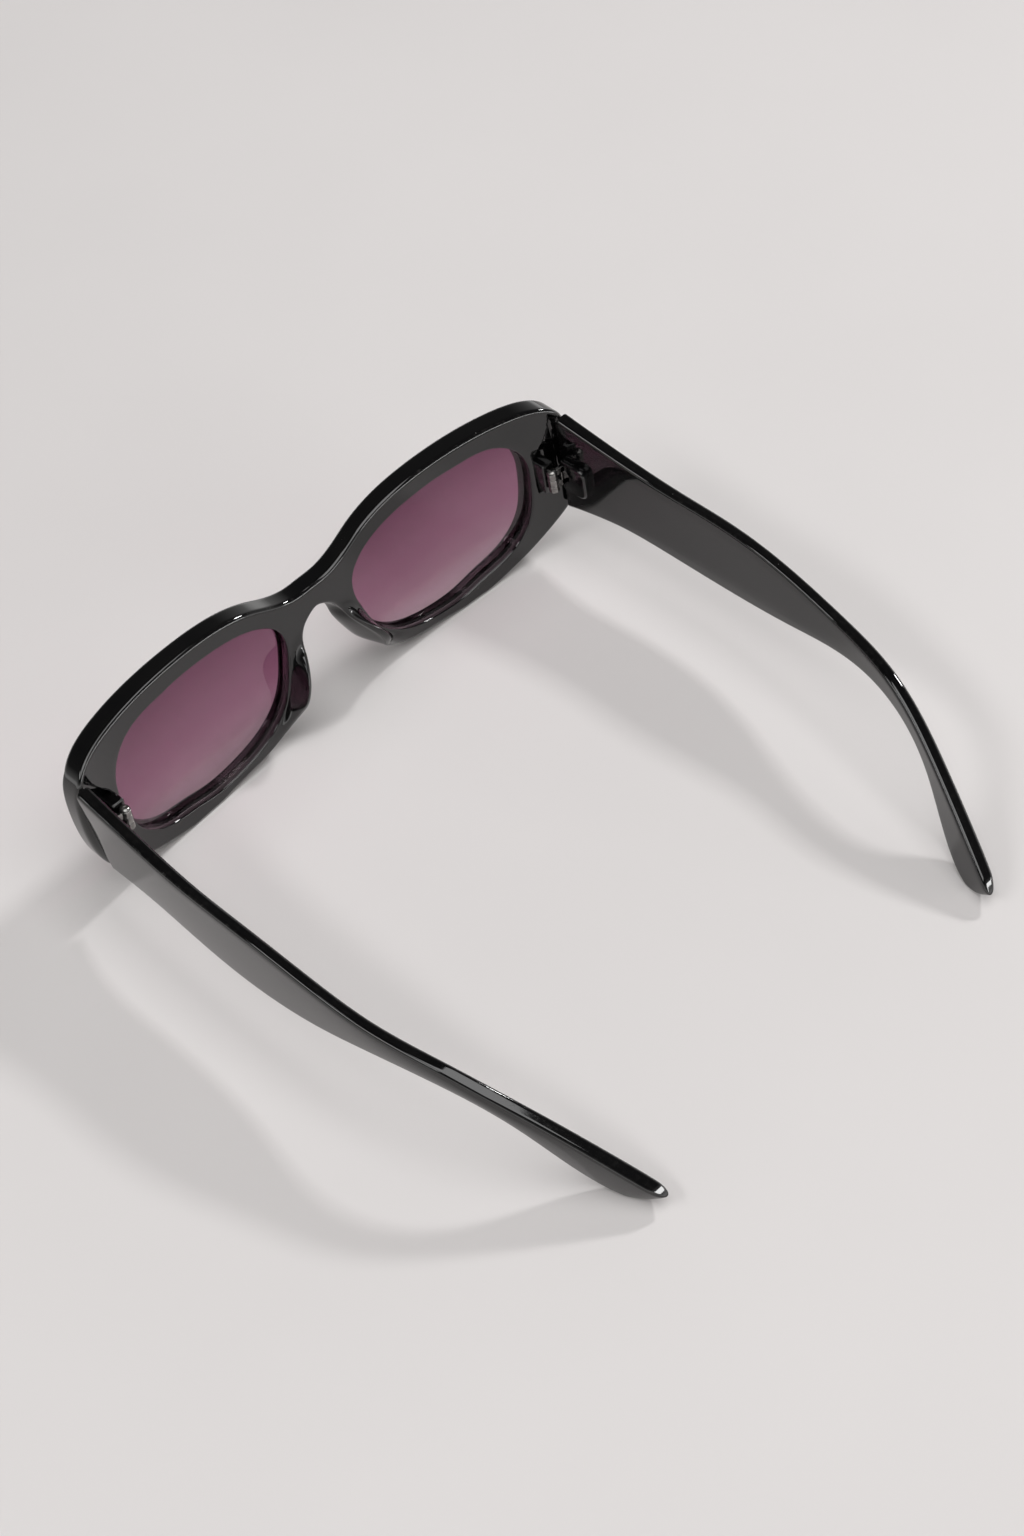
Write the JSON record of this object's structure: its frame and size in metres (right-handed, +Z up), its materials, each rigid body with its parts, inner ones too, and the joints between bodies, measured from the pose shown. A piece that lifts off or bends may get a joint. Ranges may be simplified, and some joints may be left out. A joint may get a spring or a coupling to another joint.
{
  "type": "oval sunglasses",
  "caption": "Oval sunglasses with a thick one-piece front, tinted lenses, moulded nose pads and wide tapering temples that fold on small metal hinges.",
  "frame": {"origin": "middle of the bounding box's bottom face, on the surface that the sunglasses stand on", "axes": "the front faces -Y, the temples run back to +Y, +X is the wearer's left, +Z is up"},
  "size_m": [0.1424, 0.1514, 0.0428],
  "materials": {
    "frame_plastic": "glossy black",
    "lens_tint": "plum tint, darker at the top",
    "hinge_metal": "satin"
  },
  "bodies": {
    "front": {"front_frame": "frame_plastic", "lens_left": "lens_tint", "lens_right": "lens_tint", "front_hinge_left": "hinge_metal", "front_hinge_right": "hinge_metal"},
    "left_temple": {"temple_left": "frame_plastic", "temple_hinge_left": "hinge_metal", "hinge_screw_left": "hinge_metal"},
    "right_temple": {"temple_right": "frame_plastic", "temple_hinge_right": "hinge_metal", "hinge_screw_right": "hinge_metal"}
  },
  "joints": [
    {"name": "left_temple_fold", "type": "hinge", "parent": "front", "child": "left_temple", "pos_m": [0.0622, -0.06158, 0.0234], "axis": [0, 0, 1], "range_deg": [0, 85]},
    {"name": "right_temple_fold", "type": "hinge", "parent": "front", "child": "right_temple", "pos_m": [-0.0622, -0.06158, 0.0234], "axis": [0, 0, -1], "range_deg": [0, 73]}
  ]
}
